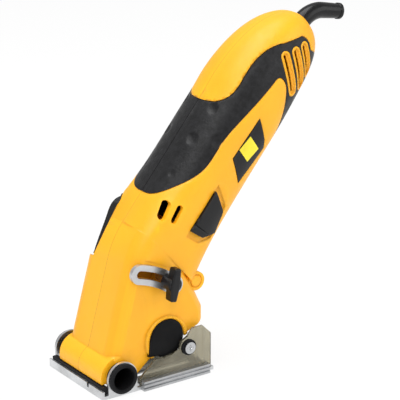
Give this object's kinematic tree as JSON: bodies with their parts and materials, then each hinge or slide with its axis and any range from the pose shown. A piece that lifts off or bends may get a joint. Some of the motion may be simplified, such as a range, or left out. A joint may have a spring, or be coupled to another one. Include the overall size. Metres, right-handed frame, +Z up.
{
  "type": "mini circular saw",
  "caption": "Hand held mini circular saw with a slanted yellow body, black soft grip, steel sole, smoked guard and a depth knob; the body plunges on a tube that is also the dust port.",
  "frame": {"origin": "centre of the sole's underside", "axes": "+X from the nose to the handle, -Y the side with the dust port and depth knob, +Z up"},
  "size_m": [0.2314, 0.085, 0.2459],
  "materials": {
    "yellow_plastic": "satin moulded",
    "soft_black": "soft overmould",
    "black_plastic": "fine grain",
    "badge_plate": "bare plate",
    "sleeve_rubber": "smooth",
    "steel": "brushed",
    "screw_steel": "plated",
    "yellow_paint": "painted",
    "rail_metal": "cast and milled",
    "smoked_clear": "smoked",
    "copper": "varnished copper",
    "carbon": "carbon"
  },
  "bodies": {
    "base": {"sole_plate": "steel", "ear_near": "steel", "ear_far": "steel", "rail_near": "rail_metal", "rail_far": "rail_metal", "guard_near": "smoked_clear", "guard_far": "smoked_clear", "guide_collar": "black_plastic", "guide_screw": "screw_steel", "hinge_tube": "black_plastic", "port_cap": "black_plastic", "nose_seal": "sleeve_rubber", "depth_link": "yellow_paint", "depth_bolt": "steel"},
    "knob": {"depth_knob": "black_plastic"},
    "saw_body": {"housing_near": "yellow_plastic", "housing_far": "yellow_plastic", "grip_near": "soft_black", "grip_far": "soft_black", "badge": "badge_plate", "badge_panel": "yellow_paint", "depth_arm": "steel", "arbor_cover": "black_plastic", "cord_sleeve": "sleeve_rubber", "housing_screws": "screw_steel", "switch_block": "black_plastic", "lever_frame": "black_plastic", "lever_pin": "steel", "arbor_bearings": "steel", "motor_bearings": "steel", "gear_case": "rail_metal", "gear_cover": "rail_metal", "stator": "steel", "field_coils": "copper", "brush_holders": "black_plastic", "brushes": "carbon"},
    "switch": {"switch_slider": "black_plastic"},
    "lever": {"lock_lever": "black_plastic"},
    "armature": {"armature_shaft": "steel", "armature_core": "steel", "armature_windings": "copper", "commutator": "copper", "cooling_fan": "black_plastic", "pinion": "steel"},
    "arbor": {"arbor_shaft": "steel", "bevel_wheel": "steel", "inner_flange": "steel", "saw_blade": "steel", "outer_flange": "steel", "blade_screw": "screw_steel"}
  },
  "joints": [
    {"name": "plunge", "type": "hinge", "parent": "base", "child": "saw_body", "pos_m": [-0.03, 0, 0.0125], "axis": [0, 1, 0], "range_deg": [0, 17], "stiffness_Nm_per_rad": 2, "springref_deg": -34.38},
    {"name": "armature_spin", "type": "hinge", "parent": "saw_body", "child": "armature", "pos_m": [0.0094, 0, 0.0305], "axis": [0.3987, 0, 0.9171], "continuous": true},
    {"name": "arbor_spin", "type": "hinge", "parent": "saw_body", "child": "arbor", "pos_m": [0.0094, 0, 0.0305], "axis": [0, 1, 0], "continuous": true},
    {"name": "switch_slide", "type": "slide", "parent": "saw_body", "child": "switch", "axis": [-0.6347, 0, -0.7727], "range_m": [0, 0.0045]},
    {"name": "lever_press", "type": "hinge", "parent": "saw_body", "child": "lever", "pos_m": [0.00695, 0.0224, 0.11732], "axis": [-0.5289, -0.7816, 0.3305], "range_deg": [0, 5], "stiffness_Nm_per_rad": 0.05, "springref_deg": -17.19},
    {"name": "knob_turn", "type": "hinge", "parent": "base", "child": "knob", "pos_m": [0.00895, -0.04, 0.07483], "axis": [0, 1, 0], "range_deg": [0, 180]}
  ],
  "couplings": [
    {"joint": "arbor_spin", "follows": "armature_spin", "ratio": -0.56}
  ]
}
